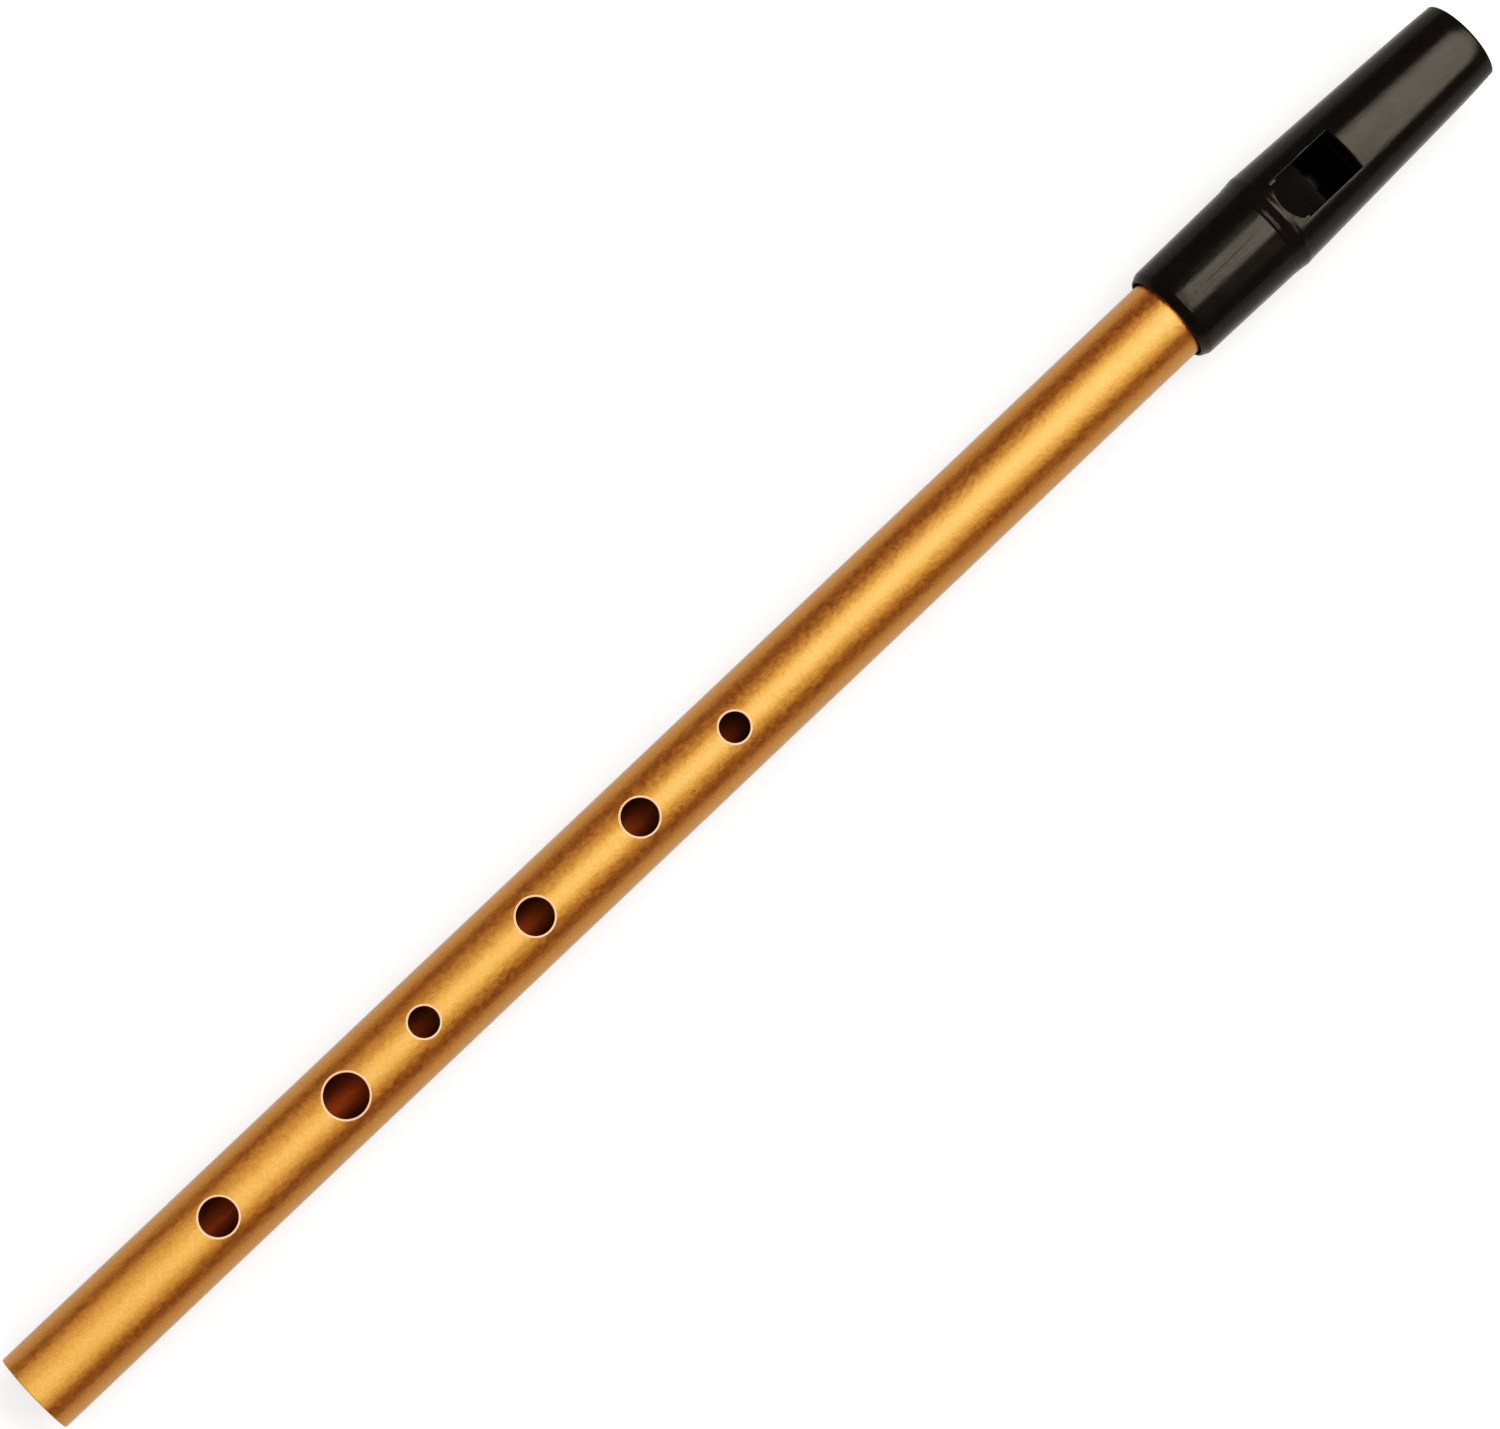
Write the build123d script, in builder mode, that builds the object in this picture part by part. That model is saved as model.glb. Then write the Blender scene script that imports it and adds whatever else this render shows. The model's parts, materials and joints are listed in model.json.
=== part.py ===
"""A soprano tin whistle in D, made of the three pieces that come apart on a bench.

A thin aluminium tube is the sounding body and carries the six finger holes.
A moulded head is pushed over its upper end, and slides there to tune the whistle.
A block pressed into the head makes the floor of the windway, which aims the breath at the lip.

The tube's axis is the X axis: the open foot is at X = 0 and the mouth end is at +X.
The finger holes and the window face +Z. All sizes are in millimetres.
"""

import os

from build123d import *

# Tube
BORE_RADIUS = 6.0
TUBE_WALL = 1.0
TUBE_RADIUS = BORE_RADIUS + TUBE_WALL
TUBE_LENGTH = 259.5
FOOT_EDGE_BREAK = 0.2
TENON_LEAD_IN = 0.4

# Finger holes, from the foot upwards: distance from the foot, and drilled diameter
FINGER_HOLES = (
    (38.2, 6.0),
    (64.5, 7.0),
    (80.6, 4.8),
    (103.8, 5.9),
    (125.8, 5.9),
    (145.8, 4.8),
)
HOLE_CHAMFER = 0.2

# Head, with its stations measured from the rim of its socket
HEAD_LENGTH = 65.05
SOCKET_DEPTH = 19.4
STOP_CLEARANCE = 0.05
SLIDE_CLEARANCE = 0.04
SOCKET_RADIUS = TUBE_RADIUS + SLIDE_CLEARANCE
RIM = TUBE_LENGTH + STOP_CLEARANCE - SOCKET_DEPTH
STOP = RIM + SOCKET_DEPTH
MOUTH_END = RIM + HEAD_LENGTH
CHAMBER_RADIUS = 6.2

# Outline of the head: a nosed rim, a socket that swells slightly, a raised collar and a tapering beak
LEAD_IN_END = RIM + 1.0
RIM_INNER_RADIUS, RIM_OUTER_RADIUS = 7.45, 7.85
NOSE_END, NOSE_END_RADIUS = RIM + 1.2, 8.47
SOCKET_END, SOCKET_END_RADIUS = RIM + 20.05, 8.71
LAND_START, LAND_END, LAND_RADIUS = RIM + 20.45, RIM + 21.05, 8.77
COLLAR_START, COLLAR_END, COLLAR_RADIUS = RIM + 22.35, RIM + 22.75, 9.0
BEAK_START, BEAK_START_RADIUS = RIM + 23.35, 8.91
MOUTH_RADIUS = 7.37
NOSE_ROUNDING = 0.12
MOUTH_ROUNDING = 0.4

# Window, with the ramp that leads down to the lip
WINDOW_WIDTH = 8.0
WINDOW_MIDDLE = WINDOW_WIDTH / 4
WINDOW_END = RIM + 37.15
RAMP_HOLLOW = 0.3
LIP = RIM + 29.85
LIP_UNDERSIDE = CHAMBER_RADIUS
LIP_THICKNESS = 0.22
UNDERCUT_START, UNDERCUT_FULL = RIM + 21.0, RIM + 25.5
UNDERCUT_START_HEIGHT = 4.7
WINDOW_EDGE_BREAK = 0.2

# Windway, between the flat top of the block and a channel in the head
FLOOR_AT_WINDOW, FLOOR_AT_MOUTH = 5.75, 3.95
WINDWAY_HEIGHT = 1.15
BLOCK_START = WINDOW_END - 0.7

# Scoop under the beak, cut through the head and the block together
SCOOP_START = RIM + 44.5
SCOOP_START_DEPTH = 8.4
SCOOP_HOLLOW = 1.9
BEAK_END_HEIGHT = 1.8

# Block
BLOCK_CLEARANCE = 0.01
BLOCK_RADIUS = CHAMBER_RADIUS - BLOCK_CLEARANCE
KEY_WIDTH = WINDOW_WIDTH - 2 * BLOCK_CLEARANCE
BLOCK_EDGE_BREAK = 0.45

# How far a cutting shape runs past the surface that it cuts
BEYOND = 5.0
ABOVE = COLLAR_RADIUS + BEYOND


def save(part, name):
    """Labels a finished piece and writes it as a node of its own."""
    part.label = name
    export_step(part, f"parts/{name}.step")


def scoop_outline():
    """Draws the outline of what the beak's hollow underside takes away, in the XZ plane."""
    start = (SCOOP_START, -SCOOP_START_DEPTH)
    end = (MOUTH_END, BEAK_END_HEIGHT)
    with BuildLine() as outline:
        SagittaArc(start, end, SCOOP_HOLLOW)
        Polyline(
            end,
            (MOUTH_END + BEYOND, BEAK_END_HEIGHT),
            (MOUTH_END + BEYOND, -ABOVE),
            (SCOOP_START, -ABOVE),
            start,
        )
    return outline


os.makedirs("parts", exist_ok=True)

# Body tube: a plain length of tube, drilled and deburred
with BuildPart() as body_tube:
    with BuildSketch(Plane.YZ):
        Circle(TUBE_RADIUS)
        Circle(BORE_RADIUS, mode=Mode.SUBTRACT)
    extrude(amount=TUBE_LENGTH)
    foot_edge = body_tube.edges().group_by(Axis.X)[0].sort_by(SortBy.RADIUS)[-1]
    tenon_edge = body_tube.edges().group_by(Axis.X)[-1].sort_by(SortBy.RADIUS)[-1]
    chamfer(foot_edge, FOOT_EDGE_BREAK)
    chamfer(tenon_edge, TENON_LEAD_IN)
    with BuildSketch(Plane.XY):
        for station, diameter in FINGER_HOLES:
            with Locations((station, 0)):
                Circle(diameter / 2)
    extrude(amount=ABOVE, mode=Mode.SUBTRACT)
    outer_rims = body_tube.edges().filter_by(GeomType.BSPLINE).sort_by(SortBy.LENGTH)
    outer_rims = [edge for edge in outer_rims if edge.bounding_box().max.Z > TUBE_RADIUS - TUBE_WALL / 2]
    chamfer(outer_rims, HOLE_CHAMFER)
save(body_tube.part, "body_tube")

# Head shell: a turned wall, bored for the tube and the block, then cut for the breath
with BuildPart() as head_shell:
    with BuildSketch(Plane.XZ):
        with BuildLine():
            Polyline(
                (LEAD_IN_END, SOCKET_RADIUS),
                (RIM, RIM_INNER_RADIUS),
                (RIM, RIM_OUTER_RADIUS),
                (NOSE_END, NOSE_END_RADIUS),
                (SOCKET_END, SOCKET_END_RADIUS),
                (LAND_START, LAND_RADIUS),
                (LAND_END, LAND_RADIUS),
                (COLLAR_START, COLLAR_RADIUS),
                (COLLAR_END, COLLAR_RADIUS),
                (BEAK_START, BEAK_START_RADIUS),
                (MOUTH_END, MOUTH_RADIUS),
                (MOUTH_END, CHAMBER_RADIUS),
                (STOP, CHAMBER_RADIUS),
                (STOP, SOCKET_RADIUS),
                close=True,
            )
        make_face()
    revolve(axis=Axis.X)
    turned_edges = head_shell.edges().filter_by(GeomType.CIRCLE)
    fillet(turned_edges.group_by(Axis.X)[0], NOSE_ROUNDING)
    fillet(turned_edges.group_by(Axis.X)[-1].sort_by(SortBy.RADIUS)[-1], MOUTH_ROUNDING)
    with BuildSketch(Plane.XZ):
        with BuildLine():
            lip_top = (LIP, LIP_UNDERSIDE + LIP_THICKNESS)
            ramp_top = (BEAK_START, BEAK_START_RADIUS)
            Polyline(
                (UNDERCUT_START, 0),
                (UNDERCUT_START, UNDERCUT_START_HEIGHT),
                (UNDERCUT_FULL, LIP_UNDERSIDE),
                (LIP, LIP_UNDERSIDE),
                lip_top,
            )
            SagittaArc(lip_top, ramp_top, RAMP_HOLLOW)
            Polyline(
                ramp_top,
                (BEAK_START, ABOVE),
                (WINDOW_END, ABOVE),
                (WINDOW_END, FLOOR_AT_WINDOW + WINDWAY_HEIGHT),
                (MOUTH_END, FLOOR_AT_MOUTH + WINDWAY_HEIGHT),
                (MOUTH_END + BEYOND, FLOOR_AT_MOUTH + WINDWAY_HEIGHT),
                (MOUTH_END + BEYOND, 0),
                (UNDERCUT_START, 0),
            )
        make_face()
    extrude(amount=WINDOW_WIDTH / 2, both=True, mode=Mode.SUBTRACT)
    window_edges = [
        edge
        for edge in head_shell.edges().filter_by_position(Axis.X, LIP - BEYOND, WINDOW_END)
        if edge.center().Z > LIP_UNDERSIDE + WINDWAY_HEIGHT and abs(edge.center().Y) > WINDOW_MIDDLE
    ]
    chamfer(window_edges, WINDOW_EDGE_BREAK)
    with BuildSketch(Plane.XZ):
        add(scoop_outline().line)
        make_face()
    extrude(amount=ABOVE, both=True, mode=Mode.SUBTRACT)
save(head_shell.part, "head_shell")

# Fipple block: a plug with a flat-topped key, which fills the beak up to the windway's floor
with BuildPart() as fipple_block:
    with BuildSketch(Plane.YZ.offset(BLOCK_START)):
        Circle(BLOCK_RADIUS)
        with Locations((0, FLOOR_AT_WINDOW / 2)):
            Rectangle(KEY_WIDTH, FLOOR_AT_WINDOW)
    extrude(amount=MOUTH_END - BLOCK_START)
    with BuildSketch(Plane.XZ):
        with BuildLine():
            Polyline(
                (BLOCK_START - BEYOND, ABOVE),
                (BLOCK_START - BEYOND, FLOOR_AT_WINDOW),
                (WINDOW_END, FLOOR_AT_WINDOW),
                (MOUTH_END, FLOOR_AT_MOUTH),
                (MOUTH_END + BEYOND, FLOOR_AT_MOUTH),
                (MOUTH_END + BEYOND, ABOVE),
                close=True,
            )
        make_face()
    extrude(amount=KEY_WIDTH / 2, both=True, mode=Mode.SUBTRACT)
    windway_exit_edge = fipple_block.edges().group_by(Axis.X)[0].sort_by(Axis.Z)[-1]
    chamfer(windway_exit_edge, BLOCK_EDGE_BREAK)
    with BuildSketch(Plane.XZ):
        add(scoop_outline().line)
        make_face()
    extrude(amount=ABOVE, both=True, mode=Mode.SUBTRACT)
save(fipple_block.part, "fipple_block")
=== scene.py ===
"""The look of a soprano tin whistle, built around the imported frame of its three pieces.

Each piece of the whistle is a class with its own sizes, its own mesh and its own finish.
The tube lies along X, with the open foot at X = 0, and the finger holes and the window face +Z.
Sizes of the whistle are in millimetres, and a mesh is turned into metres when it is finished.
"""

import json
import logging
import math
from collections.abc import Callable
from dataclasses import dataclass
from enum import Enum

import bmesh
import bpy
from mathutils import Matrix, Vector


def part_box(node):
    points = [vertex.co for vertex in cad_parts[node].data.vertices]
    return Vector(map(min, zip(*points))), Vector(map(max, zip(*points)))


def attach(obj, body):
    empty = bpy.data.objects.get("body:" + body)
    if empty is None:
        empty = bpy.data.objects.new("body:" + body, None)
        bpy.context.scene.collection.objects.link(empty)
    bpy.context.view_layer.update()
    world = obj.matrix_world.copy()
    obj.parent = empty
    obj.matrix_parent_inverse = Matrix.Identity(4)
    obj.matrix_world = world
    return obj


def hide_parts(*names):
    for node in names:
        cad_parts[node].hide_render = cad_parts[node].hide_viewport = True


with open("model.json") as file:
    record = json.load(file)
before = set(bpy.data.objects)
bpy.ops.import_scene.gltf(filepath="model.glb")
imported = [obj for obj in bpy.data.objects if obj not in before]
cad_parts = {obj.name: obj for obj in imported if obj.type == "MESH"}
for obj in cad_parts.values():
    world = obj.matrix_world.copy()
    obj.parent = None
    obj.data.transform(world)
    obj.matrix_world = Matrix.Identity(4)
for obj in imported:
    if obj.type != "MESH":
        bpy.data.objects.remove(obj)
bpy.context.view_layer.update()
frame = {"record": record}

LOG = logging.getLogger("tin_whistle")
MM = 0.001

# Edges that turn less than this look smooth
SHARP_ANGLE = math.radians(28)

# What a cut leaves behind: corners this near are one, faces this small are slivers, and gaps with up to
# this many sides are closed
MERGE_MM = 1e-3
SLIVER_MM2 = 1e-4
WIDEST_GAP = 8

# How much a large face counts in the shading, at the most that the modifier takes
AREA_WEIGHT = 100

# How far a cutting shape runs past the surface that it cuts
BEYOND = 5.0

Colour = tuple[float, float, float]


class Body(Enum):
    """The bodies of the frame that a piece can ride on."""

    TUBE = "tube"
    HEAD = "head"


class Slot(Enum):
    """The record's material slots."""

    TUBE = "anodised_tube"
    HEAD = "head_plastic"
    BLOCK = "block_plastic"


# ---------------------------------------------------------------------------------------------
# Mesh helpers, all in millimetres
# ---------------------------------------------------------------------------------------------


@dataclass(frozen=True)
class Corner:
    """A corner of a turned outline, with the radius that it is rounded to."""

    station: float
    radius: float
    rounding: float = 0.0

    def point(self) -> Vector:
        """Returns the corner as a point of the XZ plane."""
        return Vector((self.station, 0.0, self.radius))


def round_height(radius: float, across: float) -> float:
    """Returns how high a round surface of this radius stands at a distance across its axis."""
    return math.sqrt(max(radius * radius - across * across, 0.0))


def rounded_outline(corners: list[Corner], longest: float, arc_steps: int = 5) -> list[Vector]:
    """Rounds the corners of a closed outline and divides its long straight runs.

    Args:
        corners: the corners in order.
        longest: the longest straight run that stays undivided.
        arc_steps: how many chords make each rounded corner.

    Returns:
        The points of the outline, in order.
    """
    outline: list[Vector] = []
    count = len(corners)
    for index, corner in enumerate(corners):
        here = corner.point()
        back = (corners[index - 1].point() - here).normalized()
        ahead = (corners[(index + 1) % count].point() - here).normalized()
        if corner.rounding <= 0.0:
            outline.append(here)
            continue
        half = back.angle(ahead) / 2
        centre = here + (back + ahead).normalized() * (corner.rounding / math.sin(half))
        reach = corner.rounding / math.tan(half)
        start, end = here + back * reach - centre, here + ahead * reach - centre
        turns = [start.slerp(end, step / arc_steps).normalized() for step in range(arc_steps + 1)]
        outline += [centre + turn * corner.rounding for turn in turns]
    divided: list[Vector] = []
    for here, ahead in zip(outline, outline[1:] + outline[:1]):
        pieces = max(1, math.ceil((ahead - here).length / longest))
        divided += [here.lerp(ahead, step / pieces) for step in range(pieces)]
    return divided


def hollow(start: Vector, end: Vector, depth: float, steps: int) -> list[Vector]:
    """Draws a shallow arc between two points of the XZ plane.

    Args:
        start: the first point.
        end: the last point.
        depth: how far the arc stands off the chord, to the left of the way from start to end.
        steps: how many chords the arc has.

    Returns:
        The arc's points, both ends among them.
    """
    chord = end - start
    left = Vector((-chord.z, 0.0, chord.x)).normalized()
    radius = (chord.length_squared / 4 + depth * depth) / (2 * depth)
    centre = (start + end) / 2 + left * (depth - radius)
    first, last = start - centre, end - centre
    turns = [first.slerp(last, step / steps).normalized() for step in range(steps + 1)]
    return [centre + turn * abs(radius) for turn in turns]


def spun(outline: list[Vector], steps: int) -> bmesh.types.BMesh:
    """Spins a closed outline about the X axis into a hollow turned shape.

    Args:
        outline: the points of the section, all off the axis.
        steps: how many strips go round the axis.

    Returns:
        A closed shape whose faces point outwards.
    """
    shape = bmesh.new()
    corners = [shape.verts.new(point) for point in outline]
    edges = [shape.edges.new(pair) for pair in zip(corners, corners[1:] + corners[:1])]
    bmesh.ops.spin(
        shape,
        geom=corners + edges,
        cent=(0.0, 0.0, 0.0),
        axis=(1.0, 0.0, 0.0),
        angle=2 * math.pi,
        steps=steps,
        use_merge=True,
    )
    bmesh.ops.remove_doubles(shape, verts=shape.verts, dist=MERGE_MM)
    bmesh.ops.recalc_face_normals(shape, faces=shape.faces)
    return shape


def bridged(rings: list[list[Vector]]) -> bmesh.types.BMesh:
    """Skins a row of rings, all of one count, into a closed shape.

    Args:
        rings: the rings of points, from one end of the shape to the other.

    Returns:
        A closed shape whose faces point outwards.
    """
    shape = bmesh.new()
    loops = []
    for ring in rings:
        corners = [shape.verts.new(point) for point in ring]
        loops.append([shape.edges.new(pair) for pair in zip(corners, corners[1:] + corners[:1])])
    for lower, upper in zip(loops, loops[1:]):
        bmesh.ops.bridge_loops(shape, edges=lower + upper)
    bmesh.ops.contextual_create(shape, geom=loops[0])
    bmesh.ops.contextual_create(shape, geom=loops[-1])
    bmesh.ops.recalc_face_normals(shape, faces=shape.faces)
    return shape


def slab(outline: list[Vector], half_width: float) -> bmesh.types.BMesh:
    """Extrudes an outline of the XZ plane both ways along Y into a closed slab."""
    sides = (Vector((0.0, -half_width, 0.0)), Vector((0.0, half_width, 0.0)))
    return bridged([[point + side for point in outline] for side in sides])


def mark_edges(shape: bmesh.types.BMesh) -> None:
    """Smooths every face, and keeps the edges that turn more than SHARP_ANGLE crisp.

    Args:
        shape: the shape, in millimetres.
    """
    for face in shape.faces:
        face.smooth = True
    for edge in shape.edges:
        sliver = min(face.calc_area() for face in edge.link_faces) < SLIVER_MM2
        edge.smooth = sliver or edge.calc_face_angle(0.0) < SHARP_ANGLE


def stand(shape: bmesh.types.BMesh, name: str) -> bpy.types.Object:
    """Turns a shape into an object of the scene, still in millimetres.

    Args:
        shape: the shape, which is freed.
        name: the object's name.

    Returns:
        The object, at the origin.
    """
    mesh = bpy.data.meshes.new(name)
    shape.to_mesh(mesh)
    shape.free()
    piece = bpy.data.objects.new(name, mesh)
    bpy.context.scene.collection.objects.link(piece)
    return piece


def cut(piece: bpy.types.Object, shape: bmesh.types.BMesh) -> None:
    """Takes a tool's shape out of a piece.

    Args:
        piece: the piece that is cut, in millimetres.
        shape: the tool's shape, which is used up.
    """
    tool = stand(shape, "cutting_tool")
    modifier = piece.modifiers.new("cut", "BOOLEAN")
    modifier.operation = "DIFFERENCE"
    modifier.solver = "EXACT"
    modifier.object = tool
    graph = bpy.context.evaluated_depsgraph_get()
    result = bpy.data.meshes.new_from_object(piece.evaluated_get(graph), depsgraph=graph)
    piece.modifiers.clear()
    used = [piece.data, tool.data]
    piece.data = result
    bpy.data.objects.remove(tool)
    for mesh in used:
        bpy.data.meshes.remove(mesh)


def finish(piece: bpy.types.Object, touch_up: Callable[[bmesh.types.BMesh], None] | None = None) -> None:
    """Cleans a piece's mesh, marks its edges and turns it from millimetres into metres.

    Args:
        piece: the piece, in millimetres.
        touch_up: what else is done to the clean shape, while it is in millimetres.
    """
    shape = bmesh.new()
    shape.from_mesh(piece.data)
    bmesh.ops.remove_doubles(shape, verts=shape.verts, dist=MERGE_MM)
    bmesh.ops.dissolve_degenerate(shape, edges=shape.edges, dist=MERGE_MM)
    bmesh.ops.holes_fill(shape, edges=[edge for edge in shape.edges if edge.is_boundary], sides=WIDEST_GAP)
    bmesh.ops.recalc_face_normals(shape, faces=shape.faces)
    if touch_up:
        touch_up(shape)
    mark_edges(shape)
    bmesh.ops.scale(shape, vec=(MM, MM, MM), verts=shape.verts)
    shape.to_mesh(piece.data)
    shape.free()
    piece.data.name = piece.name


def weigh_normals(piece: bpy.types.Object) -> None:
    """Shades a piece by its large faces, so that the narrow roundings between them look soft.

    Args:
        piece: the finished piece.
    """
    normals = piece.modifiers.new("normals", "WEIGHTED_NORMAL")
    normals.weight = AREA_WEIGHT
    normals.keep_sharp = True


def edge_tool(edge: list[Vector], wall: Vector, surface: list[Vector], width: float) -> bmesh.types.BMesh:
    """Makes the tool that rounds a long edge between a wall and the surface above it.

    Args:
        edge: points along the edge, from one end to the other.
        wall: the direction from the cut space into the wall.
        surface: the direction along the surface, away from the edge, at each point.
        width: how wide the rounded edge is.

    Returns:
        A closed shape that stands over the edge.
    """
    # The rounding's swell at its middle, the place and swell of its shoulders, and the drop of the outer side
    swell, shoulder, shoulder_swell, drop = 0.42, 0.22, 0.72, 0.6
    rings = []
    down = Vector((0.0, 0.0, -width))
    for point, along in zip(edge, surface):
        low, high = point + down, point + along * width
        middle = (low + high) / 2
        bulge = (point - middle) * swell
        quarter = low.lerp(high, shoulder) + bulge * shoulder_swell
        three_quarters = low.lerp(high, 1 - shoulder) + bulge * shoulder_swell
        outer = point + along * 2 * width - down * drop
        rings.append(
            [
                low - wall * width,
                low,
                quarter,
                middle + bulge,
                three_quarters,
                high,
                outer,
                outer - down * 2,
                point - wall * width - down * 3,
            ]
        )
    return bridged(rings)


# ---------------------------------------------------------------------------------------------
# Finishes
# ---------------------------------------------------------------------------------------------


class Graph:
    """A material's node tree, with short calls for the nodes that the finishes use."""

    def __init__(self, name: str) -> None:
        """Makes an empty material with a Principled shader wired to its output.

        Args:
            name: the material's name.
        """
        self.material = bpy.data.materials.new(name)
        self.material.use_nodes = True
        self.tree = self.material.node_tree
        self.tree.nodes.clear()
        output = self.tree.nodes.new("ShaderNodeOutputMaterial")
        self.shader = self.tree.nodes.new("ShaderNodeBsdfPrincipled")
        self.tree.links.new(self.shader.outputs["BSDF"], output.inputs["Surface"])
        self.place = self.tree.nodes.new("ShaderNodeTexCoord").outputs["Object"]

    def set(self, **values: float | tuple[float, ...]) -> None:
        """Sets sockets of the shader that are the same all over the surface."""
        for name, value in values.items():
            self.shader.inputs[name.replace("_", " ").title().replace("Ior", "IOR")].default_value = value

    def feed(self, socket: str, source: bpy.types.NodeSocket) -> None:
        """Wires a value that varies over the surface into one of the shader's sockets."""
        self.tree.links.new(source, self.shader.inputs[socket])

    def noise(
        self,
        size_mm: float,
        detail: float = 2.0,
        roughness: float = 0.5,
        stretch: tuple[float, ...] = (1, 1, 1),
    ) -> bpy.types.NodeSocket:
        """Adds a noise pattern.

        Args:
            size_mm: how large its features are, in millimetres.
            detail: how many finer layers it has.
            roughness: how strong the finer layers are.
            stretch: how much longer the features are along each axis.

        Returns:
            The pattern's value, around 0.5.
        """
        mapping = self.tree.nodes.new("ShaderNodeMapping")
        mapping.inputs["Scale"].default_value = [1 / (size_mm * MM * longer) for longer in stretch]
        self.tree.links.new(self.place, mapping.inputs["Vector"])
        node = self.tree.nodes.new("ShaderNodeTexNoise")
        node.inputs["Scale"].default_value = 1.0
        node.inputs["Detail"].default_value = detail
        node.inputs["Roughness"].default_value = roughness
        self.tree.links.new(mapping.outputs["Vector"], node.inputs["Vector"])
        return node.outputs["Fac"]

    def span(
        self, source: bpy.types.NodeSocket, low: float, high: float, start: float = 0.3, end: float = 0.7
    ) -> bpy.types.NodeSocket:
        """Maps a pattern's range onto the values that a socket takes.

        Args:
            source: the pattern.
            low: the value where the pattern is at start, or below it.
            high: the value where the pattern is at end, or above it.
            start: the low end of the pattern's range.
            end: the high end of the pattern's range.

        Returns:
            The mapped value.
        """
        node = self.tree.nodes.new("ShaderNodeMapRange")
        node.inputs["From Min"].default_value = start
        node.inputs["From Max"].default_value = end
        node.inputs["To Min"].default_value = low
        node.inputs["To Max"].default_value = high
        self.tree.links.new(source, node.inputs["Value"])
        return node.outputs["Result"]

    def blend(self, share: bpy.types.NodeSocket, first: Colour, second: Colour) -> bpy.types.NodeSocket:
        """Blends two colours by a pattern.

        Args:
            share: the pattern, which is 0 for the first colour and 1 for the second.
            first: the first colour.
            second: the second colour.

        Returns:
            The blended colour.
        """
        node = self.tree.nodes.new("ShaderNodeMix")
        node.data_type = "RGBA"
        self.tree.links.new(share, node.inputs["Factor"])
        colours = [socket for socket in node.inputs if socket.type == "RGBA"]
        colours[0].default_value = (*first, 1.0)
        colours[1].default_value = (*second, 1.0)
        return next(socket for socket in node.outputs if socket.type == "RGBA")

    def add(self, *sources: bpy.types.NodeSocket) -> bpy.types.NodeSocket:
        """Adds patterns together.

        Args:
            sources: the patterns.

        Returns:
            Their sum.
        """
        total = sources[0]
        for source in sources[1:]:
            node = self.tree.nodes.new("ShaderNodeMath")
            node.operation = "ADD"
            self.tree.links.new(total, node.inputs[0])
            self.tree.links.new(source, node.inputs[1])
            total = node.outputs[0]
        return total

    def spot(self, centre: Vector, sizes: tuple[float, ...], turn: float) -> bpy.types.NodeSocket:
        """Adds one soft-edged spot, such as a scratch, at a place on the piece.

        Args:
            centre: the middle of the spot, in millimetres.
            sizes: the spot's size along its own axes, in millimetres.
            turn: how far the spot is turned about Z, in degrees.

        Returns:
            A value that rises to 1 in the middle of the spot and is 0 outside it.
        """
        mapping = self.tree.nodes.new("ShaderNodeMapping")
        mapping.vector_type = "TEXTURE"
        mapping.inputs["Location"].default_value = centre * MM
        mapping.inputs["Rotation"].default_value = (0.0, 0.0, math.radians(turn))
        mapping.inputs["Scale"].default_value = [size * MM / 2 for size in sizes]
        self.tree.links.new(self.place, mapping.inputs["Vector"])
        ball = self.tree.nodes.new("ShaderNodeTexGradient")
        ball.gradient_type = "SPHERICAL"
        self.tree.links.new(mapping.outputs["Vector"], ball.inputs["Vector"])
        return self.span(ball.outputs["Fac"], 0.0, 1.0, start=0.0, end=0.6)

    def bump(self, height: bpy.types.NodeSocket, depth_mm: float) -> None:
        """Raises the surface by a pattern.

        Args:
            height: the pattern.
            depth_mm: the pattern's full height, in millimetres.
        """
        node = self.tree.nodes.new("ShaderNodeBump")
        node.inputs["Distance"].default_value = depth_mm * MM
        self.tree.links.new(height, node.inputs["Height"])
        self.feed("Normal", node.outputs["Normal"])


@dataclass(frozen=True)
class AnodisedMetal:
    """Bead-blasted aluminium, dyed and sealed: coloured metal under a thin clear oxide."""

    name: str = "amber_anodised"
    light: Colour = (0.67, 0.340, 0.110)
    deep: Colour = (0.51, 0.225, 0.054)
    smoothest: float = 0.36
    roughest: float = 0.46
    grain_mm: float = 0.34
    grain_share: float = 0.6
    sparkle_mm: float = 0.816
    sparkle_share: float = 0.28
    cloud_mm: float = 5.0
    cloud_share: float = 0.12
    grain_depth_mm: float = 0.030
    coat: float = 0.7
    coat_roughness: float = 0.38
    coat_ior: float = 1.5

    def material(self) -> bpy.types.Material:
        """Builds the finish's material.

        Returns:
            The material, with its grain in the piece's own space.
        """
        graph = Graph(self.name)
        grain = graph.noise(self.grain_mm, detail=2.0, roughness=0.6)
        sparkle = graph.noise(self.sparkle_mm, detail=1.0)
        clouds = graph.noise(self.cloud_mm, detail=3.0)
        tint = graph.add(
            graph.span(grain, 0.0, self.grain_share),
            graph.span(sparkle, 0.0, self.sparkle_share),
            graph.span(clouds, 0.0, self.cloud_share),
        )
        graph.feed("Base Color", graph.blend(tint, self.deep, self.light))
        graph.feed("Roughness", graph.span(sparkle, self.smoothest, self.roughest))
        graph.set(metallic=1.0)
        graph.set(coat_weight=self.coat, coat_roughness=self.coat_roughness, coat_ior=self.coat_ior)
        graph.bump(graph.add(grain, sparkle), self.grain_depth_mm)
        return graph.material


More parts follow.
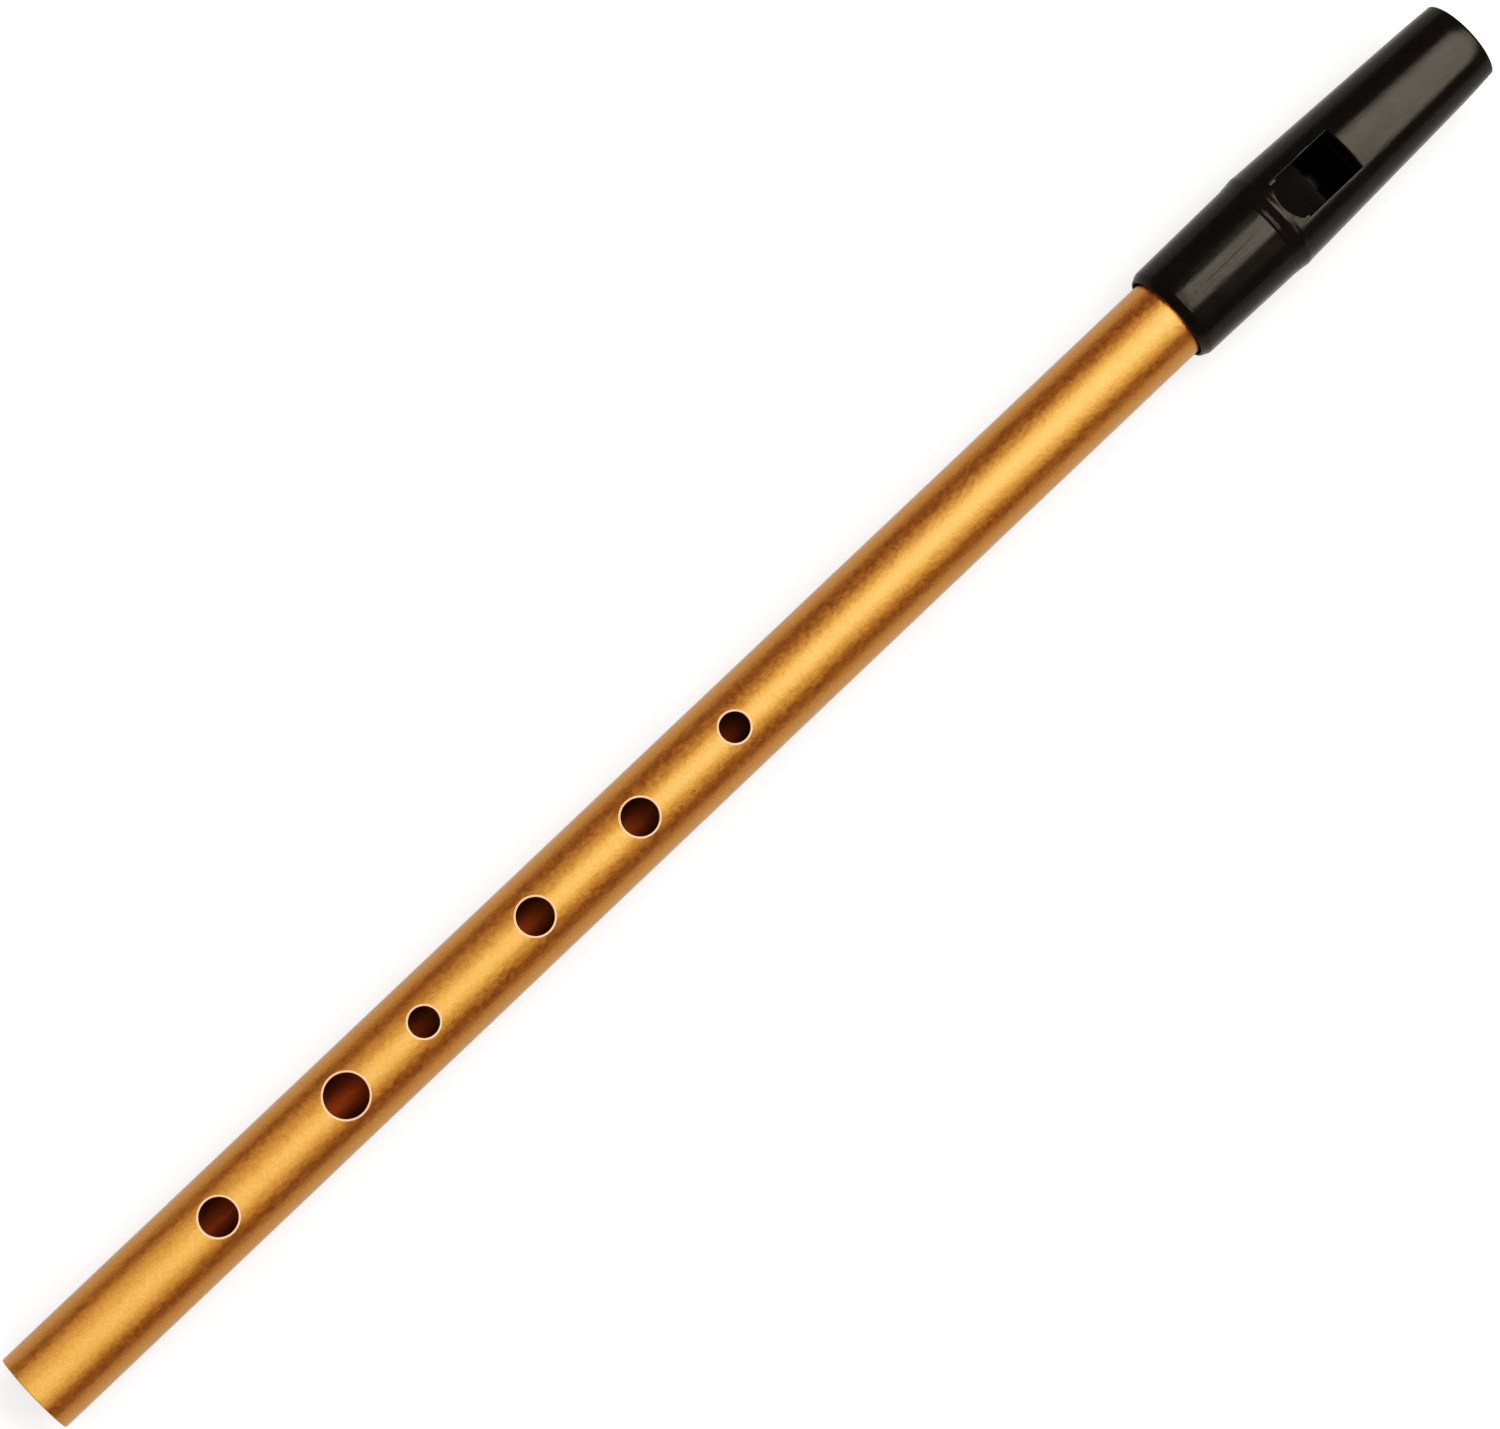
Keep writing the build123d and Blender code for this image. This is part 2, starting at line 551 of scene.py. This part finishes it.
@dataclass(frozen=True)
class DrawnBoreWithPaintedShade:
    """The tube's inside: drawn, never blasted, and coloured darker than the outside as painted shade in the
    bore.
    """

    name: str = "drawn_bore"
    # Darker than the outside's colours: painted shade inside the bore
    light: Colour = (0.52, 0.200, 0.050)
    deep: Colour = (0.42, 0.140, 0.030)
    smoothest: float = 0.46
    roughest: float = 0.60
    metallic: float = 0.9
    line_mm: float = 0.25
    line_stretch: float = 60.0
    line_depth_mm: float = 0.004

    def material(self) -> bpy.types.Material:
        """Builds the finish's material.

        Returns:
            The material, with die lines that run along the tube.
        """
        graph = Graph(self.name)
        lines = graph.noise(self.line_mm, detail=2.0, stretch=(self.line_stretch, 1, 1))
        graph.feed("Base Color", graph.blend(graph.span(lines, 0.0, 1.0), self.deep, self.light))
        graph.feed("Roughness", graph.span(lines, self.smoothest, self.roughest))
        graph.set(metallic=self.metallic)
        graph.bump(lines, self.line_depth_mm)
        return graph.material


@dataclass(frozen=True)
class DeburredEdge:
    """The lighter, pinkish ring on each hole's broken edge."""

    name: str = "deburred_edge"
    light: Colour = (0.98, 0.70, 0.52)
    deep: Colour = (0.86, 0.52, 0.36)
    smoothest: float = 0.45
    roughest: float = 0.65
    metallic: float = 0.35
    mark_mm: float = 0.12
    mark_depth_mm: float = 0.008

    def material(self) -> bpy.types.Material:
        """Builds the finish's material.

        Returns:
            The material, with the fine marks of the deburring tool.
        """
        graph = Graph(self.name)
        turning = graph.noise(self.mark_mm, detail=2.0)
        graph.feed("Base Color", graph.blend(graph.span(turning, 0.0, 1.0), self.deep, self.light))
        graph.feed("Roughness", graph.span(turning, self.smoothest, self.roughest))
        graph.set(metallic=self.metallic)
        graph.bump(turning, self.mark_depth_mm)
        return graph.material


@dataclass(frozen=True)
class MouldedPlastic:
    """Warm black plastic from a mould, with a soft gloss and the faint lines of handling."""

    name: str
    light: Colour
    deep: Colour
    smoothest: float
    roughest: float
    scuff_depth_mm: float
    ior: float = 1.42
    cloud_mm: float = 4.0
    peel_mm: float = 0.8
    peel_share: float = 0.5
    scuff_mm: float = 0.18
    scuff_stretch: float = 40.0
    scuff_share: float = 0.25
    scuff_polish: float = -0.02
    scuff_wear: float = 0.05
    scratch: Vector | None = None
    scratch_sizes_mm: tuple[float, float, float] = (16.0, 0.12, 2.0)
    scratch_turn: float = 0.65
    scratch_wear: float = 0.2
    scratch_depth: float = -1.2

    def material(self) -> bpy.types.Material:
        """Builds the finish's material.

        Returns:
            The material, with one long scratch where the finish has its place.
        """
        graph = Graph(self.name)
        clouds = graph.noise(self.cloud_mm, detail=3.0)
        orange_peel = graph.noise(self.peel_mm, detail=1.0)
        scuffs = graph.noise(self.scuff_mm, detail=2.0, roughness=0.7, stretch=(self.scuff_stretch, 1, 1))
        graph.feed("Base Color", graph.blend(graph.span(clouds, 0.0, 1.0), self.deep, self.light))
        wear = [
            graph.span(clouds, self.smoothest, self.roughest),
            graph.span(scuffs, self.scuff_polish, self.scuff_wear),
        ]
        relief = [graph.span(orange_peel, 0.0, self.peel_share), graph.span(scuffs, 0.0, self.scuff_share)]
        if self.scratch:
            groove = graph.spot(self.scratch, self.scratch_sizes_mm, self.scratch_turn)
            wear.append(graph.span(groove, 0.0, self.scratch_wear, start=0.0, end=1.0))
            relief.append(graph.span(groove, 0.0, self.scratch_depth, start=0.0, end=1.0))
        graph.feed("Roughness", graph.add(*wear))
        graph.set(ior=self.ior)
        graph.bump(graph.add(*relief), self.scuff_depth_mm)
        return graph.material


# ---------------------------------------------------------------------------------------------
# The whistle's three pieces
# ---------------------------------------------------------------------------------------------


def mount(name: str) -> dict:
    """Returns one of the record's mounts by its name."""
    return next(entry for entry in frame["record"]["mounts"] if entry["name"] == name)


def hand_over(piece: bpy.types.Object, body: Body, node: str) -> None:
    """Attaches a piece to the body that it rides on, and hides the CAD node that it replaces.

    Args:
        piece: the finished piece.
        body: the body that it moves with.
        node: the CAD node that it replaces.
    """
    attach(piece, body.value)
    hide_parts(node)


@dataclass
class FingerHole:
    """A hole drilled through the tube's upper wall.

    Each step of the shoulder says how far out it stands from the drilled wall and how far down from the
    tube's surface, both in widths of the broken edge.
    """

    station: float
    diameter: float
    break_width: float = 0.33
    sides: int = 112
    first_side: float = 0.37
    inside: float = 1.0
    above: float = 3.0
    shoulder: tuple[tuple[float, float], ...] = (
        (0.0, 1.0),
        (0.10, 0.55),
        (0.36, 0.2),
        (1.0, 0.0),
        (2.2, -0.4),
    )

    def tool(self, tube_radius: float) -> bmesh.types.BMesh:
        """Makes the drill with the shoulder that rounds the hole's edge to the tube's curve.

        Args:
            tube_radius: the tube's outer radius.

        Returns:
            A closed shape that stands through the tube's upper wall.
        """
        drill = self.diameter / 2
        width = self.break_width
        rings = [self.ring(drill, lambda across: self.inside)]
        for out, down in self.shoulder:
            reach, sunk = drill + out * width, down * width
            rings.append(self.ring(reach, lambda across, sunk=sunk: round_height(tube_radius, across) - sunk))
        rings.append(self.ring(reach, lambda across: tube_radius + self.above))
        return bridged(rings)

    def ring(self, reach: float, height: Callable[[float], float]) -> list[Vector]:
        """Lays a ring about the hole's axis.

        Args:
            reach: the ring's radius.
            height: gives the ring's height at a distance across the tube.

        Returns:
            The ring's points.
        """
        turns = [2 * math.pi * (side + self.first_side) / self.sides for side in range(self.sides)]
        points = [(reach * math.cos(turn), reach * math.sin(turn)) for turn in turns]
        return [Vector((self.station + along, across, height(across))) for along, across in points]

    def reach_of(self, point: Vector) -> float:
        """Returns how far outside the drilled wall a point is, negative inside the hole."""
        return math.hypot(point.x - self.station, point.y) - self.diameter / 2


class TubeFinish(Enum):
    """The tube's finishes, in the order of its material slots."""

    BLASTED = 0
    DEBURRED = 1
    DRAWN = 2


@dataclass
class BodyTube:
    """The sounding tube: a length of thin tube with six finger holes."""

    length: float
    radius: float
    bore: float
    foot_rounding: float = 0.2
    tenon_rounding: float = 0.35
    bore_rounding: float = 0.12
    wall_play: float = 0.01
    rounding_steps: int = 4
    strips: int = 288
    longest: float = 6.0
    holes: tuple[FingerHole, ...] = (
        FingerHole(38.2, 6.0),
        FingerHole(64.5, 7.0),
        FingerHole(80.6, 4.8),
        FingerHole(103.8, 5.9),
        FingerHole(125.8, 5.9),
        FingerHole(145.8, 4.8),
    )

    def build(self) -> bpy.types.Object:
        """Builds the tube, drills it and gives it its finishes.

        Returns:
            The finished piece.
        """
        corners = [
            Corner(0.0, self.bore, self.bore_rounding),
            Corner(0.0, self.radius, self.foot_rounding),
            Corner(self.length, self.radius, self.tenon_rounding),
            Corner(self.length, self.bore, self.bore_rounding),
        ]
        outline = rounded_outline(corners, self.longest, self.rounding_steps)
        piece = stand(spun(outline, self.strips), "whistle_tube")
        for hole in self.holes:
            cut(piece, hole.tool(self.radius))
        self.dress(piece)
        hand_over(piece, Body.TUBE, "body_tube")
        return piece

    def dress(self, piece: bpy.types.Object) -> None:
        """Gives the outside, the holes' broken edges and the bore their finishes, the bore's with a darker
        colour as painted shade.

        Args:
            piece: the tube, in millimetres.
        """
        for dressing in (AnodisedMetal(), DeburredEdge(), DrawnBoreWithPaintedShade()):
            piece.data.materials.append(dressing.material())
        finish(piece, self.part_finishes)
        self.round_walls(piece.data)

    def round_walls(self, mesh: bpy.types.Mesh) -> None:
        """Gives the tube's outer wall and its bore the normals of a true cylinder.

        Args:
            mesh: the finished mesh, in metres.
        """
        normals = [corner.vector.copy() for corner in mesh.corner_normals]
        for face in mesh.polygons:
            spokes = [mesh.vertices[index].co * Vector((0.0, 1.0, 1.0)) for index in face.vertices]
            for wall, way in ((self.radius, 1.0), (self.bore, -1.0)):
                if all(abs(spoke.length / MM - wall) < self.wall_play for spoke in spokes):
                    for loop, spoke in zip(face.loop_indices, spokes):
                        normals[loop] = spoke.normalized() * way
        mesh.normals_split_custom_set(normals)

    def part_finishes(self, shape: bmesh.types.BMesh) -> None:
        """Sorts the tube's faces by the finish that they have.

        Args:
            shape: the tube's shape, in millimetres.
        """
        for face in shape.faces:
            centre = face.calc_center_median()
            nearest = min(self.holes, key=lambda hole: abs(hole.station - centre.x))
            farthest = max(nearest.reach_of(corner.co) for corner in face.verts)
            reach = farthest if centre.z > 0.0 else self.length
            in_bore = math.hypot(centre.y, centre.z) < self.bore + self.bore_rounding
            # The bore and the holes' drilled walls take the bore's darker colour, which is painted shade
            if in_bore or reach < self.wall_play:
                face.material_index = TubeFinish.DRAWN.value
            elif reach < nearest.break_width + self.wall_play:
                face.material_index = TubeFinish.DEBURRED.value


@dataclass
class HeadSizes:
    """The sizes that the head shell and the block share. Stations are measured from the head's rim."""

    rim: float
    mouth: float
    stop: float = 19.4
    socket: float = 7.04
    chamber: float = 6.2
    collar: float = 22.5
    beak: float = 23.35
    beak_radius: float = 8.91
    mouth_radius: float = 7.37
    window_half: float = 4.0
    lip: float = 29.85
    lip_thickness: float = 0.22
    window_end: float = 37.15
    floor_at_window: float = 5.75
    floor_at_mouth: float = 3.95
    windway: float = 1.15
    clearance: float = 0.01
    scoop: float = 44.5
    scoop_depth: float = 8.4
    scoop_hollow: float = 1.9
    scoop_steps: int = 24
    scoop_below: float = 16.0
    scoop_half: float = 14.0
    beak_end: float = 1.8

    def at(self, station: float) -> float:
        """Turns a station of the head into a place along X."""
        return self.rim + station

    def beak_surface(self, place: float, across: float) -> Vector:
        """Finds the beak's outer surface.

        Args:
            place: a place along X.
            across: a distance across the whistle.

        Returns:
            The point of the surface above that place.
        """
        share = (place - self.at(self.beak)) / (self.mouth - self.at(self.beak))
        radius = self.beak_radius + share * (self.mouth_radius - self.beak_radius)
        return Vector((place, across, round_height(radius, across)))

    def scoop_tool(self) -> bmesh.types.BMesh:
        """Makes the tool that hollows the underside of the beak.

        Returns:
            A closed shape that stands below the beak.
        """
        start = Vector((self.at(self.scoop), 0.0, -self.scoop_depth))
        end = Vector((self.mouth, 0.0, self.beak_end))
        outline = hollow(start, end, self.scoop_hollow, self.scoop_steps)
        beyond = Vector((BEYOND, 0.0, 0.0))
        below = Vector((0.0, 0.0, -self.scoop_below))
        return slab(outline + [end + beyond, end + beyond + below, start + below], self.scoop_half)


@dataclass
class HeadShell:
    """The moulded mouthpiece: socket, collar, window, windway roof and beak.

    The turned outside is listed from the rim to the collar: station, radius and rounding of each corner.
    """

    sizes: HeadSizes
    strips: int = 288
    longest: float = 2.5
    lead_in: float = 1.0
    lead_in_rounding: float = 0.4
    beak_rounding: float = 0.5
    mouth_rounding: float = 0.4
    stop_rounding: float = 0.1
    bore_rounding: float = 0.05
    edge_width: float = 0.34
    edge_start: float = 1.2
    edge_overrun: float = 0.1
    edge_steps: int = 11
    roof_steps: int = 16
    ramp_hollow: float = 0.3
    ramp_steps: int = 14
    lip_relief: float = 0.002
    inside: float = 1.0
    above: float = 14.0
    undercut_start: float = 21.0
    undercut_full: float = 25.5
    undercut_height: float = 4.7
    scratch_station: float = 10.0
    scratch_across: float = -0.26
    turned: tuple[tuple[float, float, float], ...] = (
        (0.0, 7.45, 0.16),
        (0.0, 7.85, 0.2),
        (1.2, 8.47, 1.6),
        (20.05, 8.71, 0.1),
        (20.45, 8.78, 0.2),
        (21.05, 8.81, 0.5),
        (22.35, 9.0, 0.4),
        (22.75, 9.0, 0.3),
    )

    def build(self) -> bpy.types.Object:
        """Turns the shell's outline, cuts the breath's way and the scoop, and dresses it.

        Returns:
            The finished piece.
        """
        piece = stand(spun(rounded_outline(self.corners(), self.longest), self.strips), "mouthpiece_shell")
        cut(piece, self.windway_tool())
        for tool in self.window_edge_tools():
            cut(piece, tool)
        cut(piece, self.sizes.scoop_tool())
        self.dress(piece)
        hand_over(piece, Body.HEAD, "head_shell")
        return piece

    def dress(self, piece: bpy.types.Object) -> None:
        """Gives the shell its glossy black plastic.

        Args:
            piece: the shell, in millimetres.
        """
        scratch = Vector((self.sizes.at(self.scratch_station), self.scratch_across, self.sizes.beak_radius))
        piece.data.materials.append(
            MouldedPlastic(
                name="gloss_black_plastic",
                light=(0.024, 0.0215, 0.0185),
                deep=(0.018, 0.0160, 0.0137),
                smoothest=0.16,
                roughest=0.21,
                scuff_depth_mm=0.010,
                scratch=scratch,
            ).material()
        )
        finish(piece)
        weigh_normals(piece)

    def corners(self) -> list[Corner]:
        """Lists the corners of the shell's turned section.

        Returns:
            The corners, from the socket's mouth over the outside and back along the inside.
        """
        sizes = self.sizes
        return [
            Corner(sizes.at(self.lead_in), sizes.socket, self.lead_in_rounding),
            *(Corner(sizes.at(station), radius, rounding) for station, radius, rounding in self.turned),
            Corner(sizes.at(sizes.beak), sizes.beak_radius, self.beak_rounding),
            Corner(sizes.mouth, sizes.mouth_radius, self.mouth_rounding),
            Corner(sizes.mouth, sizes.chamber, self.bore_rounding),
            Corner(sizes.at(sizes.stop), sizes.chamber, self.stop_rounding),
            Corner(sizes.at(sizes.stop), sizes.socket, self.bore_rounding),
        ]

    def windway_tool(self) -> bmesh.types.BMesh:
        """Makes the tool that cuts the window, the ramp, the lip's underside and the windway.

        Returns:
            A closed slab as wide as the window.
        """
        sizes = self.sizes
        lip = Vector((sizes.at(sizes.lip), 0.0, sizes.chamber + sizes.lip_thickness))
        ramp_top = sizes.beak_surface(sizes.at(sizes.beak), 0.0)
        ramp = hollow(lip, ramp_top, self.ramp_hollow, self.ramp_steps)
        roof_start = Vector((sizes.at(sizes.window_end), 0.0, sizes.floor_at_window + sizes.windway))
        roof_end = Vector((sizes.mouth, 0.0, sizes.floor_at_mouth + sizes.windway))
        beyond = Vector((BEYOND, 0.0, 0.0))
        under_lip = Vector((lip.x, 0.0, sizes.chamber + self.lip_relief))
        outline = [
            Vector((sizes.at(self.undercut_start), 0.0, self.inside)),
            Vector((sizes.at(self.undercut_start), 0.0, self.undercut_height)),
            Vector((sizes.at(self.undercut_full), 0.0, under_lip.z)),
            under_lip,
            *ramp,
            Vector((ramp_top.x, 0.0, self.above)),
            Vector((roof_start.x, 0.0, self.above)),
            roof_start,
            roof_end,
            roof_end + beyond,
            Vector((roof_end.x + beyond.x, 0.0, self.inside)),
        ]
        return slab(outline, sizes.window_half)

    def window_edge_tools(self) -> list[bmesh.types.BMesh]:
        """Makes the tools that round the window's two long edges and the roof's edge.

        Returns:
            The tools, one for each edge.
        """
        sizes = self.sizes
        half, width = sizes.window_half, self.edge_width
        tools = []
        steps = self.edge_steps
        first = sizes.at(sizes.beak + self.edge_start)
        last = sizes.at(sizes.window_end + self.edge_overrun)
        places = [first + (last - first) * step / steps for step in range(steps + 1)]
        for side in (-1.0, 1.0):
            edge = [sizes.beak_surface(place, side * half) for place in places]
            away = [sizes.beak_surface(place, side * (half + width)) for place in places]
            surface = [(far - near).normalized() for near, far in zip(edge, away)]
            tools.append(edge_tool(edge, Vector((0.0, side, 0.0)), surface, width))
        steps = self.roof_steps
        distances = [half * (2 * step / steps - 1.0) for step in range(steps + 1)]
        roof = sizes.at(sizes.window_end)
        edge = [sizes.beak_surface(roof, distance) for distance in distances]
        away = [sizes.beak_surface(roof + width, distance) for distance in distances]
        surface = [(far - near).normalized() for near, far in zip(edge, away)]
        tools.append(edge_tool(edge, Vector((1.0, 0.0, 0.0)), surface, width))
        return tools


@dataclass
class FippleBlock:
    """The moulded plug whose flat-topped key is the floor of the windway."""

    start: float
    sizes: HeadSizes
    edge_break: float = 0.45
    strips: int = 120

    def build(self) -> bpy.types.Object:
        """Skins the block along the head, scoops its underside and dresses it.

        Returns:
            The finished piece.
        """
        sizes = self.sizes
        rings = [
            self.section(self.start, sizes.floor_at_window - self.edge_break),
            self.section(self.start + self.edge_break, sizes.floor_at_window),
            self.section(sizes.at(sizes.window_end), sizes.floor_at_window),
            self.section(sizes.mouth, sizes.floor_at_mouth),
        ]
        piece = stand(bridged(rings), "windway_block")
        cut(piece, sizes.scoop_tool())
        self.dress(piece)
        hand_over(piece, Body.HEAD, "fipple_block")
        return piece

    def dress(self, piece: bpy.types.Object) -> None:
        """Gives the block its matt black plastic.

        Args:
            piece: the block, in millimetres.
        """
        piece.data.materials.append(
            MouldedPlastic(
                name="matt_black_plastic",
                light=(0.017, 0.0160, 0.0145),
                deep=(0.012, 0.0112, 0.0100),
                smoothest=0.42,
                roughest=0.52,
                scuff_depth_mm=0.012,
            ).material()
        )
        finish(piece)
        weigh_normals(piece)

    def section(self, place: float, top: float) -> list[Vector]:
        """Draws the block's section: a round plug with a key on top.

        Args:
            place: where the section stands along X.
            top: the height of the key's flat top.

        Returns:
            The section's points, in order round the block.
        """
        radius = self.sizes.chamber - self.sizes.clearance
        half_key = self.sizes.window_half - self.sizes.clearance
        open_angle = math.asin(half_key / radius)
        sweep = 2 * (math.pi - open_angle)
        turns = [open_angle + sweep * step / self.strips for step in range(self.strips + 1)]
        plug = [Vector((place, radius * math.sin(turn), radius * math.cos(turn))) for turn in turns]
        return plug + [Vector((place, -half_key, top)), Vector((place, half_key, top))]


# ---------------------------------------------------------------------------------------------
# The studio
# ---------------------------------------------------------------------------------------------


class Outline(Enum):
    """The outlines that a softbox has."""

    OBLONG = "RECTANGLE"
    OVAL = "ELLIPSE"


class Lit(Enum):
    """The objects that a softbox lights, with black cards keeping it off the rest."""

    TUBE = ("whistle_tube", "studio_floor")
    HEAD = ("mouthpiece_shell", "windway_block", "studio_floor")


@dataclass(frozen=True)
class Softbox:
    """A soft light, which hangs level above the table. Its middle and its size are in metres."""

    name: str
    middle: tuple[float, float, float]
    size: tuple[float, float]
    radiance: float
    lit: Lit
    colour: Colour = (1.0, 0.95, 0.88)
    outline: Outline = Outline.OBLONG
    turn: float = 0.0

    def build(self) -> None:
        """Hangs the light and keeps it to what it lights."""
        light = bpy.data.lights.new(self.name, "AREA")
        light.shape = self.outline.value
        light.size, light.size_y = self.size
        light.color = self.colour
        filled = math.pi / 4 if self.outline is Outline.OVAL else 1.0
        light.energy = self.radiance * math.pi * filled * self.size[0] * self.size[1]
        holder = bpy.data.objects.new(self.name, light)
        bpy.context.scene.collection.objects.link(holder)
        turned = Matrix.Rotation(math.radians(self.turn), 4, "Z")
        holder.matrix_world = Matrix.Translation(self.middle) @ turned
        receivers = bpy.data.collections.new(self.name)
        for name in self.lit.value:
            receivers.objects.link(bpy.data.objects[name])
        holder.light_linking.receiver_collection = receivers


def backlit(tree: bpy.types.NodeTree, around: float, seen: float) -> bpy.types.NodeSocket:
    """Makes a strength that keeps the backdrop's own look apart from the light that it throws.

    Args:
        tree: the backdrop's node tree.
        around: the strength that lights the whistle.
        seen: how bright the backdrop itself is beyond that.

    Returns:
        The strength.
    """
    path = tree.nodes.new("ShaderNodeLightPath")
    strength = tree.nodes.new("ShaderNodeMath")
    strength.operation = "MULTIPLY_ADD"
    strength.inputs[1].default_value = seen
    strength.inputs[2].default_value = around
    tree.links.new(path.outputs["Is Camera Ray"], strength.inputs[0])
    return strength.outputs[0]


@dataclass(frozen=True)
class PrintCurve:
    """The film's contrast: how bright each brightness of the scene is printed."""

    white: float = 1.2
    steps: tuple[tuple[float, float], ...] = ((0.05, 0.022), (0.20, 0.215), (0.42, 0.51), (0.90, 0.945))

    def set(self) -> None:
        """Sets the scene's view to the curve, with full white at the end of it."""
        view = bpy.context.scene.view_settings
        view.view_transform = "Standard"
        view.use_curve_mapping = True
        mapping = view.curve_mapping
        mapping.white_level = (self.white, self.white, self.white)
        for step in self.steps:
            mapping.curves[-1].points.new(*step)
        mapping.update()


@dataclass
class Studio:
    """The pale table, the lights and the camera above the whistle.

    The floor's half width is in metres, the camera's aim and distance are in millimetres, and its angles
    are in degrees.
    """

    aim: float = 149.65
    distance: float = 778.0
    tilt: float = 6.9
    lean: float = 1.8
    picture_turn: float = 43.5
    lens: float = 121.15
    floor_half: float = 8.0
    table: Colour = (0.56, 0.58, 0.61)
    table_shade: float = 0.98
    table_cloud_mm: float = 40.0
    table_roughness: float = 0.85
    backlight: float = 0.54
    room: Colour = (1.0, 0.80, 0.62)
    room_strength: float = 0.20
    backdrop_strength: float = 3.0
    curve: PrintCurve = PrintCurve()
    softboxes: tuple[Softbox, ...] = (
        Softbox("middle_softbox", (0.33, -0.06, 1.1), (0.52, 0.84), 2.7, Lit.TUBE),
        Softbox("mouth_softbox", (0.90, -0.20, 1.1), (0.60, 2.2), 3.4, Lit.TUBE),
        Softbox("foot_softbox", (-0.55, 0.35, 1.1), (1.00, 3.0), 1.9, Lit.TUBE),
        Softbox("socket_softbox", (0.51, -0.06, 1.1), (0.15, 0.98), 6.1, Lit.HEAD, (1.0, 0.93, 0.84)),
        Softbox(
            "beak_softbox",
            (0.865, -0.62, 1.1),
            (0.36, 3.00),
            5.4,
            Lit.HEAD,
            (1.0, 0.93, 0.83),
            Outline.OVAL,
            turn=7.0,
        ),
    )

    def build(self, collar: float, tube_radius: float, collar_radius: float) -> None:
        """Lays the floor and sets up the world, the lights and the camera.

        Args:
            collar: where the collar is along X.
            tube_radius: the tube's outer radius, which rests on the floor at the foot.
            collar_radius: the collar's radius, which rests on the floor near the head.
        """
        self.lay_floor(collar, tube_radius, collar_radius)
        self.light()
        self.set_camera()
        self.curve.set()

    def lay_floor(self, collar: float, tube_radius: float, collar_radius: float) -> None:
        """Lays the floor under the foot's edge and the collar, which the whistle lies on.

        Args:
            collar: where the collar is along X.
            tube_radius: the tube's outer radius.
            collar_radius: the collar's radius.
        """
        shape = bmesh.new()
        bmesh.ops.create_grid(shape, x_segments=1, y_segments=1, size=self.floor_half)
        slope = (collar_radius - tube_radius) / collar
        for corner in shape.verts:
            corner.co.z = -tube_radius * MM - slope * corner.co.x
        floor = stand(shape, "studio_floor")
        graph = Graph("pale_table")
        paper = graph.span(graph.noise(self.table_cloud_mm, detail=2.0), 0.0, 1.0)
        shaded = tuple(value * self.table_shade for value in self.table)
        graph.feed("Base Color", graph.blend(paper, shaded, self.table))
        graph.set(roughness=self.table_roughness, emission_color=(1.0, 1.0, 1.0, 1.0))
        graph.feed("Emission Strength", backlit(graph.tree, 0.0, self.backlight))
        floor.data.materials.append(graph.material)

    def light(self) -> None:
        """Hangs the softboxes and sets the room's dim light."""
        for softbox in self.softboxes:
            softbox.build()
        world = bpy.data.worlds.new("studio")
        world.use_nodes = True
        backdrop = world.node_tree.nodes["Background"]
        backdrop.inputs["Color"].default_value = (*self.room, 1.0)
        strength = backlit(world.node_tree, self.room_strength, self.backdrop_strength)
        world.node_tree.links.new(strength, backdrop.inputs["Strength"])
        bpy.context.scene.world = world

    def set_camera(self) -> None:
        """Sets the camera almost straight above the whistle, turned so that the whistle lies aslant."""
        tilt, lean, turn = (math.radians(angle) for angle in (self.tilt, self.lean, self.picture_turn))
        level = math.cos(tilt)
        back = Vector((-math.sin(tilt), -level * math.sin(lean), level * math.cos(lean)))
        along = Vector((1.0, 0.0, 0.0))
        along = (along - back * along.dot(back)).normalized()
        across = back.cross(along)
        right = along * math.cos(turn) - across * math.sin(turn)
        up = along * math.sin(turn) + across * math.cos(turn)
        camera = bpy.data.objects.new("camera", bpy.data.cameras.new("camera"))
        camera.data.lens = self.lens
        turned = Matrix((right, up, back)).transposed().to_4x4()
        target = Vector((self.aim * MM, 0.0, 0.0))
        camera.matrix_world = Matrix.Translation(target + back * self.distance * MM) @ turned
        bpy.context.scene.collection.objects.link(camera)
        bpy.context.scene.camera = camera


def main() -> None:
    """Builds the whistle's pieces in order, then the studio."""
    logging.basicConfig(level=logging.INFO, format="%(levelname)s %(name)s: %(message)s")
    tube_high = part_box("body_tube")[1] / MM
    head_low, head_high = (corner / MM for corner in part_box("head_shell"))
    block_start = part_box("fipple_block")[0].x / MM
    sizes = HeadSizes(rim=head_low.x, mouth=head_high.x)
    pieces = (
        BodyTube(length=tube_high.x, radius=tube_high.y, bore=mount("foot_bore")["dims"]["r_mm"]),
        HeadShell(sizes),
        FippleBlock(block_start, sizes),
    )
    for builder in pieces:
        piece = builder.build()
        LOG.info("%s has %d faces", piece.name, len(piece.data.polygons))
    Studio().build(sizes.at(sizes.collar), tube_high.y, head_high.z)


if __name__ == "__main__":
    main()
